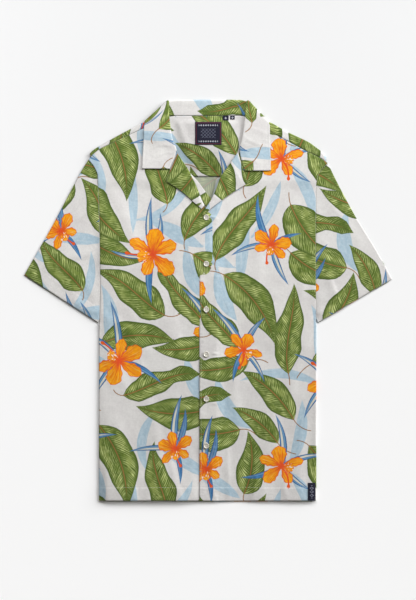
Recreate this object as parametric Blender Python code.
"""Short-sleeved camp-collar shirt, buttoned and laid flat, front up.

Frame: +X to the left sleeve's cuff, +Y to the collar, +Z up from the surface that the shirt lies on.
The origin is under the middle of the shirt. Sizes in the tables are millimetres; meshes are metres.
"right" and "left" in names are the wearer's, so the right front is at -X.

Each cloth piece is worked out as the middle surface of its cloth, row by row, and then given its
wall thickness. Layers lie on each other at a fixed pitch.
"""
import math

import bmesh
import bpy
import numpy as np
from mathutils import Matrix, Vector

# ---------------------------------------------------------------- driving sizes, mm
WALL = 1.0            # thickness of one cloth wall
LAY = 2.0             # height from one lying layer's middle to the next one's
SEAM = 0.18           # each side's share of the gap at a seam
BODY_LEFT = 211.8     # body's side edge at +X
BODY_RIGHT = -213.1   # body's side edge at -X
HEM_Y = -391.0        # hem
ARMPIT_Y = -44.0      # where the side seam ends
SIDE_FLANGE = 7.0     # how far a front wraps under the side edge to the side seam
YOKE_HEM_Y = 241.6    # lower edge of both yokes
NECK_Y = 360.3        # neck seam at the back
COLLAR_TOP_Y = 391.0  # top of the collar's roll at the back
FALL_DEPTH_Y = 318.0  # lower edge of the collar's fall behind the neck
PLACKET_X = -16.6     # leading edge of the left front
UNDERLAP_X = 10.0     # hidden edge of the right front
BUTTON_X = -3.3
BUTTON_YS = (161.5, 71.0, -18.1, -105.5, -192.7, -283.7)
BUTTON_D = 11.0
BUTTON_H = 2.4
ROLL = 1.2            # half the height between the two walls of a rolled lapel or collar
MM = 0.001

Z_BACK = WALL / 2
Z_FRONT = Z_BACK + LAY


# ---------------------------------------------------------------- small tools
def ease(t):
    t = min(1.0, max(0.0, t))
    return t * t * (3 - 2 * t)


def mix(a, b, t):
    return a + (b - a) * t


def vec(*c):
    return np.array(c, float)


def unit(v):
    return v / np.linalg.norm(v)


def along(points, t):
    """Point at share t of a polyline's length."""
    p = [vec(*q) for q in points]
    run = [0.0]
    for a, b in zip(p, p[1:]):
        run.append(run[-1] + np.linalg.norm(b - a))
    s = min(max(t, 0.0), 1.0) * run[-1]
    for i in range(len(p) - 1):
        if s <= run[i + 1] + 1e-9:
            return mix(p[i], p[i + 1], (s - run[i]) / (run[i + 1] - run[i]))
    return p[-1]


def at_x(points, x):
    """Height y of a polyline over x; the points run from low x to high x."""
    xs = [p[0] for p in points]
    ys = [p[1] for p in points]
    return float(np.interp(x, xs, ys))


# ---------------------------------------------------------------- heights of the lying layers
FALL_MID_X = -2.0


def fall_edge_y(x):
    """Lower edge of the collar's fall, behind the neck."""
    return FALL_DEPTH_Y + 30.0 * min(1.0, abs(x - FALL_MID_X) / 122.0) ** 3


def lift(x, y):
    """What lies over the collar's fall is one layer higher."""
    across = ease((150.0 - abs(x - FALL_MID_X)) / 22.0)
    return LAY * ease((y - (fall_edge_y(x) - 40.0)) / 24.0) * across


def z_outer_yoke(x, y):
    return Z_BACK + lift(x, y)


def z_inner_yoke(x, y):
    return Z_BACK + LAY + lift(x, y)


def z_right_front(x, y):
    return Z_FRONT + LAY * ease((y - (YOKE_HEM_Y - 30.0)) / 24.0) + lift(x, y)


def z_left_front(x, y):
    """The left front is a layer higher over the right front's underlap."""
    return z_right_front(x, y) + LAY * ease((36.0 - x) / 22.0)


# ---------------------------------------------------------------- tables of lines that pieces share
# armhole seam, shoulder to armpit
ARMHOLE_R = [(-236.0, 278.5), (-228.0, 268.2), (-220.4, 258.4), (-215.1, 244.5), (-214.3, 218.4), (-212.6, 180.0), (-211.6, 136.9),
             (-211.0, 90.0), (-210.7, 39.4), (-211.0, 0.0), (-211.8, -36.0)]
ARMHOLE_L = [(237.1, 270.7), (226.8, 261.0), (214.5, 246.3), (210.4, 225.4), (210.2, 190.0), (210.2, 136.9), (210.3, 90.0),
             (210.3, 39.4), (210.6, 0.0), (211.0, -36.0)]
# outline of each shoulder, where the outer yoke folds forward, low x to high x
SHOULDER_R = [(-236.0, 279.0), (-228.5, 289.0), (-218.6, 296.8), (-193.0, 311.5), (-169.8, 324.5), (-157.8, 330.7), (-130.0, 344.8),
              (-120.0, 348.6), (-90.3, 365.0)]
SHOULDER_L = [(88.8, 363.5), (114.0, 349.0), (124.0, 345.4), (157.2, 327.2), (198.9, 307.1), (219.8, 291.5), (231.0, 279.0),
              (237.1, 270.7)]
# forward shoulder seams, low x to high x
SEAM_R = [(-236.0, 273.0), (-228.0, 281.5), (-213.0, 294.2), (-193.0, 304.0), (-158.0, 321.0), (-124.8, 335.8), (-89.7, 350.6)]
SEAM_L = [(88.4, 346.6), (120.9, 329.0), (155.0, 310.5), (190.1, 291.5), (214.0, 280.6), (228.0, 271.8), (237.1, 264.0)]

# lapels, one row for each section from the break of the roll up to the gorge
LAPEL_COLUMNS = ("roll_x", "roll_y", "edge_x", "edge_y")
LAPEL_R = [(-6.8, 185.5, -12.5, 178.0), (-12.1, 195.4, -22.4, 186.2), (-18.5, 212.0, -34.5, 197.7), (-23.8, 225.0, -49.9, 210.8),
           (-31.2, 240.2, -65.3, 221.7), (-38.0, 254.5, -80.9, 232.8), (-48.8, 270.5, -76.8, 244.1), (-59.3, 286.5, -72.5, 255.3)]
LAPEL_L = [(-11.3, 167.1, -8.6, 165.2), (-5.9, 176.9, 6.3, 179.5), (6.8, 197.7, 24.6, 193.1), (15.2, 215.5, 41.0, 205.1),
           (24.6, 241.4, 59.5, 217.2), (35.1, 255.8, 76.6, 229.7), (46.8, 272.4, 73.1, 240.2), (58.1, 288.6, 69.0, 251.7)]

# collar, one row for each section from the leading edge up to where the collar turns over the shoulder;
# neck_x is None where the fall is sewn straight to the lapel's gorge and has no stand
COLLAR_COLUMNS = ("roll_x", "roll_y", "edge_x", "edge_y", "neck_x", "neck_y")
COLLAR_R = [(-73.2, 256.2, -128.5, 256.6, None, None), (-68.5, 266.5, -128.0, 271.0, None, None),
            (-62.6, 280.5, -127.3, 286.0, None, None), (-60.9, 290.5, -126.6, 299.0, -64.8, 289.8),
            (-68.6, 313.2, -125.6, 314.0, -77.0, 312.0), (-72.3, 335.0, -124.9, 329.0, -84.5, 332.0),
            (-75.0, 357.0, -124.3, 341.0, -88.9, 350.0)]
COLLAR_L = [(69.6, 252.5, 122.1, 252.7, None, None), (66.4, 263.0, 121.9, 268.0, None, None),
            (62.4, 277.5, 121.6, 284.0, None, None), (60.3, 290.8, 121.2, 298.0, 64.0, 290.0),
            (65.3, 313.2, 120.8, 313.5, 75.0, 312.0), (68.6, 335.0, 120.4, 328.5, 82.6, 331.0),
            (71.5, 357.0, 120.2, 340.5, 87.4, 346.0)]
# the turn over the shoulder: share of a half turn, and the neck seam there
TURN_COLUMNS = ("share", "neck_x", "neck_y", "neck_z")
TURN_R = [(0.14, -88.8, 356.0, 6.3), (0.32, -87.6, 359.6, 5.8), (0.5, -85.0, 361.0, 5.2), (0.68, -81.6, 361.0, 4.6), (0.86, -77.0, 360.8, 4.0)]
TURN_L = [(0.14, 87.4, 353.0, 6.3), (0.32, 86.6, 357.6, 5.8), (0.5, 84.4, 360.2, 5.2), (0.68, 81.0, 361.0, 4.6), (0.86, 76.6, 360.8, 4.0)]
TURN_LINE_R = ((-78.5, 391.0), (-124.4, 349.2))
TURN_LINE_L = ((78.0, 391.0), (120.2, 348.2))
BACK_XS = (-60.0, -30.0, 0.0, 30.0, 60.0)

# sleeve's folded top edge, shoulder to cuff, and its underarm end at armhole and cuff
SLEEVE_TOP_R = [(-236.6, 278.0), (-250.0, 254.9), (-274.0, 206.0), (-298.9, 156.4), (-309.1, 136.9), (-320.8, 116.0), (-358.8, 49.1)]
SLEEVE_TOP_L = [(237.9, 270.0), (252.9, 235.8), (269.0, 203.0), (285.9, 169.7), (305.2, 136.9), (334.4, 87.9), (358.8, 41.3)]
UNDERARM_R = ((-212.3, -36.0), (-214.4, -43.0))
UNDERARM_L = ((211.4, -36.0), (213.6, -43.4))
ARMHOLE_STEPS = 18    # sections along an armhole, shared by front, back and sleeve
SLEEVE_STEPS = 9      # sections from armhole to cuff


# ---------------------------------------------------------------- making solids
def material(name, rgb, rough):
    m = bpy.data.materials.new(name)
    m.use_nodes = True
    p = m.node_tree.nodes["Principled BSDF"]
    p.inputs["Base Color"].default_value = (*rgb, 1.0)
    p.inputs["Roughness"].default_value = rough
    p.inputs["Metallic"].default_value = 0.0
    m.diffuse_color = (*rgb, 1.0)
    return m


def new_object(name, mesh, mat):
    mesh.materials.append(mat)
    o = bpy.data.objects.new(name, mesh)
    bpy.context.scene.collection.objects.link(o)
    return o


def cloth(name, grid, mat, hidden=()):
    """A cloth piece from the grid of points of its middle surface. hidden names faces (row, column) that are left out."""
    rows, cols = len(grid), len(grid[0])
    hidden = set(hidden)
    faces = [(r, c) for r in range(rows - 1) for c in range(cols - 1) if (r, c) not in hidden]
    used = {}
    verts = []
    quads = []
    for r, c in faces:
        quad = []
        for k in ((r, c), (r, c + 1), (r + 1, c + 1), (r + 1, c)):
            if k not in used:
                used[k] = len(verts)
                verts.append(tuple(float(v) * MM for v in grid[k[0]][k[1]]))
            quad.append(used[k])
        quads.append(quad)
    mesh = bpy.data.meshes.new(name)
    mesh.from_pydata(verts, [], quads)
    mesh.update()
    o = new_object(name, mesh, mat)
    s = o.modifiers.new("wall", "SOLIDIFY")
    s.thickness = WALL * MM
    s.offset = 0.0
    s.use_even_offset = True
    s.use_quality_normals = True
    s.use_rim = True
    return o


# ---------------------------------------------------------------- fronts
def side_sign(side):
    return -1.0 if side == "R" else 1.0


def armhole(side, i):
    """Point i of the armhole, 0 at the armpit."""
    table = ARMHOLE_R if side == "R" else ARMHOLE_L
    return along(table[::-1], i / (ARMHOLE_STEPS - 1) * 0.985)


def outboard(row):
    return unit(vec(row[2] - row[0], row[3] - row[1]))


def moved_out(line, ways, distance):
    """A line moved square to itself, to the side that ways point to."""
    out = []
    for i, (p, way) in enumerate(zip(line, ways)):
        t = unit(line[min(i + 1, len(line) - 1)] - line[max(i - 1, 0)])
        n = vec(t[1], -t[0])
        out.append(p + (n if np.dot(n, way) > 0 else -n) * distance)
    return out


def inner_line(side):
    """Inner edge of a front above the armpit, bottom to top: placket, lapel roll, neck seam."""
    lapels = LAPEL_R if side == "R" else LAPEL_L
    collar = COLLAR_R if side == "R" else COLLAR_L
    if side == "R":
        first = [(UNDERLAP_X, -36.0), (UNDERLAP_X, 30.0), (UNDERLAP_X, 85.0), (UNDERLAP_X, 130.0), (UNDERLAP_X, 168.0)]
    else:
        first = [(PLACKET_X, -36.0), (PLACKET_X, 30.0), (PLACKET_X, 85.0), (PLACKET_X, 130.0), (PLACKET_X + 0.6, 155.5)]
    line = [vec(*p) for p in first]
    starts = [vec(row[0], row[1]) + outboard(row) * (ROLL + WALL / 2) for row in lapels]
    line += moved_out(starts, [outboard(row) for row in lapels], 3 * SEAM)
    sewn = [row for row in collar if row[4] is not None]
    line += moved_out([vec(row[4], row[5]) for row in sewn], [outboard(row) for row in sewn], 3 * SEAM)
    seam = SEAM_R if side == "R" else SEAM_L
    line.append(vec(seam[-1][0], seam[-1][1] - 0.6) if side == "R" else vec(seam[0][0], seam[0][1] - 0.6))
    return line


FRONT_COLUMNS = (0.0, 0.06, 0.16, 0.28, 0.4, 0.52, 0.64, 0.76, 0.87, 0.94, 1.0)
BODY_YS = (HEM_Y, -364.0, -310.0, -250.0, -190.0, -135.0, -85.0, ARMPIT_Y)


def front_grid(side):
    s = side_sign(side)
    z_of = z_right_front if side == "R" else z_left_front
    edge = BODY_RIGHT if side == "R" else BODY_LEFT
    inner_x = UNDERLAP_X if side == "R" else PLACKET_X
    r = (Z_FRONT - Z_BACK) / 2
    turn_x = edge - s * (WALL / 2 + r)
    rows, hidden = [], []
    inner = inner_line(side)
    assert len(inner) == ARMHOLE_STEPS, len(inner)
    seam = SEAM_R if side == "R" else SEAM_L
    count = len(BODY_YS) + ARMHOLE_STEPS
    for k in range(count):
        if k < len(BODY_YS):
            outer, inn = vec(turn_x, BODY_YS[k]), vec(inner_x, BODY_YS[k])
        else:
            i = k - len(BODY_YS)
            outer, inn = armhole(side, i) - vec(s * SEAM, 0), inner[i]
        y = outer[1]
        wrap = [vec(turn_x - s * SIDE_FLANGE, y, Z_BACK), vec(turn_x, y, Z_BACK)]
        for a in (45, 90, 135):
            wrap.append(vec(turn_x + s * r * math.sin(math.radians(a)), y, Z_BACK + r - r * math.cos(math.radians(a))))
        row = wrap
        near_top = ease((k - (count - 6)) / 5.0)
        for u in FRONT_COLUMNS:
            p = mix(outer, inn, u)
            if near_top > 0:
                top = vec(mix(outer[0], inn[0], u), 0)
                straight = mix(rows_top(side, inner)[0], rows_top(side, inner)[1], u)
                bent = (at_x(seam, straight[0]) - 0.6 - straight[1]) * min(1.0, u / 0.06)
                p = vec(p[0], p[1] + bent * near_top)
            row.append(vec(p[0], p[1], z_of(p[0], p[1])))
        rows.append(row)
    wrap_columns = 5
    for k in range(count - 1):
        if k >= len(BODY_YS) - 1:
            hidden += [(k, c) for c in range(wrap_columns)]
    return rows, hidden


def rows_top(side, inner):
    s = side_sign(side)
    return armhole(side, ARMHOLE_STEPS - 1) - vec(s * SEAM, 0), inner[-1]


# ---------------------------------------------------------------- back and yokes
def back_grid():
    r = (Z_FRONT - Z_BACK) / 2
    rows = []
    shares = (0.0, 0.04, 0.25, 0.5, 0.75, 0.96, 1.0)
    step_r = BODY_RIGHT + WALL / 2 + r + SIDE_FLANGE + 2 * SEAM
    step_l = BODY_LEFT - WALL / 2 - r - SIDE_FLANGE - 2 * SEAM
    for y in BODY_YS:
        rows.append([vec(mix(step_r, step_l, u), y, Z_BACK) for u in shares])
    top = []
    for i in range(ARMHOLE_STEPS):
        a, b = armhole("R", i) + vec(SEAM, 0), armhole("L", i) - vec(SEAM, 0)
        if a[1] < YOKE_HEM_Y - 6:
            top.append((a, b))
    ty = YOKE_HEM_Y - SEAM
    for a, b in top + [(vec(along_y("R", ty) + 2 * SEAM, ty), vec(along_y("L", ty) - 2 * SEAM, ty))]:
        rows.append([vec(*mix(a, b, u), Z_BACK) for u in shares])
    return rows


def along_y(side, y):
    """x of the armhole seam at height y."""
    table = (ARMHOLE_R if side == "R" else ARMHOLE_L)[::-1]
    return float(np.interp(y, [p[1] for p in table], [p[0] for p in table]))


STRIP_XS_R = (-231.5, -227.0, -219.0, -212.0, -195.0, -175.0, -157.8, -142.0, -130.0, -118.0, -104.0, -90.3)
STRIP_XS_L = (88.8, 102.0, 114.0, 124.0, 138.0, 157.2, 177.0, 197.0, 211.0, 219.8, 227.0, 231.5)
NECK_XS = (-87.2, -79.0, -60.0, -30.0, 0.0, 30.0, 60.0, 79.0, 86.0)
NECK_DROP = {-87.2: 4.8, -79.0: 0.6, 79.0: 0.8, 86.0: 5.6}


def start_y(x):
    """Lower edge of a yoke at x: its straight hem, or the armhole beyond it."""
    for table in (ARMHOLE_R, ARMHOLE_L):
        pts = sorted(p for p in table if p[1] > YOKE_HEM_Y - 30)
        if min(abs(p[0]) for p in pts) <= abs(x) and (x < 0) == (pts[0][0] < 0):
            return max(YOKE_HEM_Y + SEAM, at_x(pts, x))
    return YOKE_HEM_Y + SEAM


def inward(line, x):
    """Unit vector into the shirt, square to a shoulder outline at x."""
    e = 3.0
    t = unit(vec(2 * e, at_x(line, x + e) - at_x(line, x - e)))
    n = vec(t[1], -t[0])
    return n if n[1] < 0 else -n


YOKE_MAIN = 6
YOKE_ARC = 4


def outer_yoke_grid():
    columns, strip = [], []
    for x in STRIP_XS_R + NECK_XS + STRIP_XS_L:
        side = "R" if x in STRIP_XS_R else "L" if x in STRIP_XS_L else None
        col = []
        if side:
            line = SHOULDER_R if side == "R" else SHOULDER_L
            seam = SEAM_R if side == "R" else SEAM_L
            sil, n = vec(x, at_x(line, x)), inward(line, x)
            z0 = z_outer_yoke(*sil)
            z1 = z_right_front(*sil)
            rad = (z1 - z0) / 2
            centre = sil + n * (WALL / 2 + rad)
            gap = SEAM + 0.25
            low = vec(x, start_y(x) + (5 * gap if start_y(x) > YOKE_HEM_Y + 1 else 0.0))
            if low[1] > centre[1] - 1.0:
                low = vec(centre[0], centre[1] - 1.0)
            for k in range(YOKE_MAIN):
                p = mix(low, centre, k / (YOKE_MAIN - 1))
                col.append(vec(p[0], p[1], z_outer_yoke(p[0], p[1]) if k < YOKE_MAIN - 1 else z0))
            for k in range(1, YOKE_ARC):
                a = math.pi * k / YOKE_ARC
                p = centre - n * rad * math.sin(a)
                col.append(vec(p[0], p[1], z0 + rad - rad * math.cos(a)))
            col.append(vec(centre[0], centre[1], z1))
            end = vec(centre[0], at_x(seam, centre[0]) + SEAM)
            if end[1] > centre[1] - 1.2:
                end = vec(centre[0], centre[1] - 1.2)
            for k in (1, 2):
                p = mix(centre, end, k / 2)
                col.append(vec(p[0], p[1], z_right_front(p[0], p[1])))
        else:
            low, top = vec(x, start_y(x)), vec(x, NECK_Y - 0.8 - NECK_DROP.get(x, 0.0))
            for k in range(YOKE_MAIN):
                p = mix(low, top, (0.0, 0.3, 0.52, 0.68, 0.84, 1.0)[k])
                col.append(vec(p[0], p[1], z_outer_yoke(p[0], p[1])))
            col += [col[-1]] * (YOKE_ARC + 2)
        columns.append(col)
        strip.append(side)
    rows = [[col[k] for col in columns] for k in range(len(columns[0]))]
    hidden = []
    for c in range(len(columns) - 1):
        if strip[c] is None or strip[c + 1] is None:
            hidden += [(r, c) for r in range(YOKE_MAIN - 1, len(rows) - 1)]
    return rows, hidden


def inner_yoke_grid():
    inset = 7.0
    columns = []
    for x in (-207.0, -190.0, -168.0, -145.0, -128.0, -110.0, -92.0) + NECK_XS[1:-1] + (91.0, 110.0, 128.0, 145.0, 168.0, 190.0, 206.0):
        low = vec(x, YOKE_HEM_Y)
        if abs(x) > 85:
            line = SHOULDER_R if x < 0 else SHOULDER_L
            top = vec(x, at_x(line, x) - inset)
            if abs(x) < 95:
                top = vec(x, 352.0 if x < 0 else 350.0)
        else:
            top = vec(x, NECK_Y - 0.9 - NECK_DROP.get(x, 0.0) - (3.0 if abs(x) > 70 else 0.0))
        col = []
        for k in range(7):
            p = mix(low, top, (0.0, 0.2, 0.38, 0.54, 0.7, 0.85, 1.0)[k])
            col.append(vec(p[0], p[1], z_inner_yoke(p[0], p[1])))
        columns.append(col)
    return [[col[k] for col in columns] for k in range(7)]


# ---------------------------------------------------------------- lapels and collar
def roll_arc(centre, way, up, half, steps=4):
    """Points round a roll. way points from the roll to the cloth; the arc runs from the -up wall to the +up wall."""
    out = []
    for k in range(steps + 1):
        a = math.pi * k / steps
        out.append(centre - way * half * math.sin(a) - up * half * math.cos(a))
    return out


LAPEL_ACROSS = (0.3, 0.65, 1.0)


def lapel_grid(side):
    z_of = z_right_front if side == "R" else z_left_front
    rows = []
    for row in (LAPEL_R if side == "R" else LAPEL_L):
        roll, edge = vec(row[0], row[1]), vec(row[2], row[3])
        o = outboard(row)
        c = roll + o * (ROLL + 0.5)
        z = z_of(c[0], c[1]) + ROLL
        pts = roll_arc(vec(c[0], c[1], z), vec(o[0], o[1], 0), vec(0, 0, 1), ROLL)
        for t in LAPEL_ACROSS:
            p = mix(c, edge, t)
            pts.append(vec(p[0], p[1], z_of(p[0], p[1]) + mix(2 * ROLL, 2.0, t) + 0.5 * math.sin(math.pi * t)))
        rows.append(pts)
    return rows


FALL_ACROSS = (0.22, 0.48, 0.76, 1.0)


def collar_grid():
    """Rows from the right leading edge round the neck to the left one. Columns run from the neck seam up the
    stand, round the roll and down the fall."""
    rows, no_stand = [], []

    def front_row(row, side):
        z_of = z_right_front
        roll, edge = vec(row[0], row[1]), vec(row[2], row[3])
        o = outboard(row)
        c = roll + o * (ROLL + 0.5)
        zc = z_of(c[0], c[1])
        arc = roll_arc(vec(c[0], c[1], zc + ROLL), vec(o[0], o[1], 0), vec(0, 0, 1), ROLL)
        if row[4] is not None:
            neck = vec(row[4], row[5], z_of(row[4], row[5]))
        else:
            neck = arc[0] + vec(o[0], o[1], 0) * 2
        fall = []
        for t in FALL_ACROSS:
            p = mix(c, edge, t)
            fall.append(vec(p[0], p[1], z_of(p[0], p[1]) + mix(2 * ROLL, 2.3, t) + 0.7 * math.sin(math.pi * t)))
        return [neck, mix(neck, arc[0], 0.5)] + arc + fall

    def turn_rows(side):
        line = TURN_LINE_R if side == "R" else TURN_LINE_L
        table = TURN_R if side == "R" else TURN_L
        top, low = vec(*line[0]), vec(*line[1])
        t = unit(low - top)
        m = vec(t[1], -t[0])
        m = m if m[1] < 0 else -m
        z_hi = z_right_front(-100.0 if side == "R" else 100.0, 345.0) + 2.9
        rad = (z_hi - Z_BACK) / 2
        zc = Z_BACK + rad
        out = []
        for share, nx, ny, nz in table:
            a = math.pi * share
            inset = WALL / 2 + rad * (1 - math.sin(a))
            half = mix(ROLL, 2.5, ease(share))
            n = vec(-m[0] * math.sin(a), -m[1] * math.sin(a), math.cos(a))
            start = vec(*(top + t * (half + 0.5) + m * inset), zc + rad * math.cos(a))
            end = vec(*(low + m * inset), zc + rad * math.cos(a))
            arc = roll_arc(start - n * half, vec(t[0], t[1], 0), n, half)
            neck = vec(nx, ny, nz)
            out.append([neck, mix(neck, arc[0], 0.5)] + arc + [mix(start, end, f) for f in FALL_ACROSS])
        return out

    for row in COLLAR_R:
        rows.append(front_row(row, "R"))
        no_stand.append(row[4] is None)
    for row in turn_rows("R"):
        rows.append(row)
        no_stand.append(False)
    for x in BACK_XS:
        half = 2.5
        c = vec(x, COLLAR_TOP_Y - 0.5 - half, Z_BACK + half)
        arc = roll_arc(c, vec(0, -1, 0), vec(0, 0, -1), half)
        neck = vec(x, NECK_Y, Z_BACK + 3.0)
        end = vec(x, fall_edge_y(x), Z_BACK)
        rows.append([neck, mix(neck, arc[0], 0.5)] + arc + [mix(arc[-1], end, f) for f in FALL_ACROSS])
        no_stand.append(False)
    for row in turn_rows("L")[::-1]:
        rows.append(row)
        no_stand.append(False)
    for row in COLLAR_L[::-1]:
        rows.append(front_row(row, "L"))
        no_stand.append(row[4] is None)
    stand_columns = 2 + 4
    hidden = []
    for r in range(len(rows) - 1):
        if no_stand[r] or no_stand[r + 1]:
            hidden += [(r, c) for c in range(stand_columns)]
    return rows, hidden


# ---------------------------------------------------------------- sleeves
def sleeve_grid(side):
    """Rows from armhole to cuff. Columns run up the lower wall, round the folded top edge and down the upper wall."""
    s = side_sign(side)
    top_line = SLEEVE_TOP_R if side == "R" else SLEEVE_TOP_L
    under = UNDERARM_R if side == "R" else UNDERARM_L
    rows = []
    for k in range(SLEEVE_STEPS):
        t = (k / (SLEEVE_STEPS - 1)) ** 1.15
        top, low = along(top_line, t), mix(vec(*under[0]), vec(*under[1]), t)
        fade = (1 - t) ** 2
        pts = []
        for i in range(ARMHOLE_STEPS):
            hole = armhole(side, i) + vec(s * SEAM, 0)
            flat = mix(vec(*under[0]), vec(*top_line[0]), i / (ARMHOLE_STEPS - 1))
            p = mix(low, top, i / (ARMHOLE_STEPS - 1)) + (hole - flat) * fade
            pts.append(p)
        d = unit(pts[-1] - pts[-3])
        rise = [(z_right_front(*armhole(side, i)) - Z_FRONT) * fade for i in range(ARMHOLE_STEPS)]
        rad = (LAY + rise[-1]) / 2
        turn = pts[-1] - d * (WALL / 2 + rad)
        keep = [p for p in pts[:-1]]
        keep = [p if np.dot(p - turn, d) < -0.5 else turn - d * 0.5 * (len(pts) - 1 - j) for j, p in enumerate(keep)]
        lower = [vec(p[0], p[1], Z_BACK) for p in keep] + [vec(turn[0], turn[1], Z_BACK)]
        upper = [vec(turn[0], turn[1], Z_FRONT + rise[-1])]
        upper += [vec(p[0], p[1], Z_FRONT + rise[j]) for j, p in reversed(list(enumerate(keep)))]
        arc = []
        for a in (45, 90, 135):
            q = turn + d * rad * math.sin(math.radians(a))
            arc.append(vec(q[0], q[1], Z_BACK + rad - rad * math.cos(math.radians(a))))
        rows.append(lower + arc + upper)
    return rows


# ---------------------------------------------------------------- labels and buttons
def label_grid(x0, x1, y0, y1, z_of, nx, ny):
    return [[vec(mix(x0, x1, c / nx), mix(y0, y1, r / ny), z_of(mix(x0, x1, c / nx), mix(y0, y1, r / ny)))
             for c in range(nx + 1)] for r in range(ny + 1)]


def button(name, x, y, z, mat):
    """A turned disc with a raised rim, a dished face and four sewing holes."""
    rad, h = BUTTON_D / 2, BUTTON_H
    profile = ((0.0, 0.0), (rad - 0.9, 0.0), (rad, 0.8), (rad, h - 0.5), (rad - 0.5, h), (rad - 1.2, h), (rad - 1.9, h - 0.7), (0.0, h - 0.7))
    steps = 16
    bm = bmesh.new()
    rings = []
    for r, zz in profile:
        if r == 0:
            rings.append([bm.verts.new((0, 0, zz * MM))])
        else:
            rings.append([bm.verts.new((r * MM * math.cos(2 * math.pi * k / steps), r * MM * math.sin(2 * math.pi * k / steps), zz * MM))
                          for k in range(steps)])
    for a, b in zip(rings, rings[1:]):
        for k in range(steps):
            j = (k + 1) % steps
            if len(a) == 1:
                bm.faces.new((a[0], b[j], b[k]))
            elif len(b) == 1:
                bm.faces.new((a[k], a[j], b[0]))
            else:
                bm.faces.new((a[k], a[j], b[j], b[k]))
    bmesh.ops.recalc_face_normals(bm, faces=bm.faces)
    mesh = bpy.data.meshes.new(name)
    bm.to_mesh(mesh)
    bm.free()
    o = new_object(name, mesh, mat)
    o.location = (x * MM, y * MM, z * MM)
    for k, (dx, dy) in enumerate(((1.15, 1.15), (-1.15, 1.15), (-1.15, -1.15), (1.15, -1.15))):
        cm = bpy.data.meshes.new(name + "_hole")
        cb = bmesh.new()
        bmesh.ops.create_cone(cb, cap_ends=True, segments=6, radius1=0.75 * MM, radius2=0.75 * MM, depth=6 * MM)
        cb.to_mesh(cm)
        cb.free()
        cutter = bpy.data.objects.new(f"{name}_hole_{k}", cm)
        bpy.context.scene.collection.objects.link(cutter)
        cutter.location = ((x + dx) * MM, (y + dy) * MM, z * MM)
        cutter.hide_render = True
        cutter.display_type = "WIRE"
        b = o.modifiers.new(f"hole_{k}", "BOOLEAN")
        b.operation = "DIFFERENCE"
        b.object = cutter
    return o


# ---------------------------------------------------------------- the shirt
def build():
    for o in list(bpy.data.objects):
        bpy.data.objects.remove(o, do_unlink=True)

    print_cloth = material("print_cloth", (0.62, 0.66, 0.52), 0.85)
    print_back = material("print_reverse", (0.5, 0.53, 0.45), 0.9)
    green = material("print_leaf", (0.25, 0.34, 0.11), 0.85)
    navy = material("label_navy", (0.02, 0.025, 0.06), 0.7)
    shell = material("button_resin", (0.8, 0.77, 0.7), 0.35)

    cloth("back_panel", back_grid(), print_back)
    grid, hidden = outer_yoke_grid()
    cloth("outer_yoke", grid, print_cloth, hidden)
    cloth("inner_yoke", inner_yoke_grid(), print_cloth)
    for side, name in (("R", "right"), ("L", "left")):
        grid, hidden = front_grid(side)
        cloth(name + "_front", grid, print_cloth, hidden)
        cloth(name + "_lapel", lapel_grid(side), green)
        cloth(name + "_sleeve", sleeve_grid(side), print_cloth)
    grid, hidden = collar_grid()
    cloth("collar", grid, print_cloth, hidden)

    on_yoke = lambda x, y: z_inner_yoke(x, y) + WALL + 0.5
    cloth("neck_label", label_grid(-25.2, 26.3, 302.4, 347.3, on_yoke, 3, 8), navy)
    cloth("size_tab_a", label_grid(28.9, 40.2, 350.4, 359.4, on_yoke, 1, 2), navy)
    cloth("size_tab_b", label_grid(43.3, 51.9, 352.2, 359.4, on_yoke, 1, 2), navy)
    cloth("hem_label", label_grid(194.6, 209.6, HEM_Y + 0.4, -356.0, lambda x, y: z_left_front(x, y) + WALL + SEAM * 2, 1, 2), navy)

    for k, y in enumerate(BUTTON_YS):
        button(f"button_{k + 1}", BUTTON_X, y, z_left_front(BUTTON_X, y) + WALL / 2 + 0.3, shell)


build()
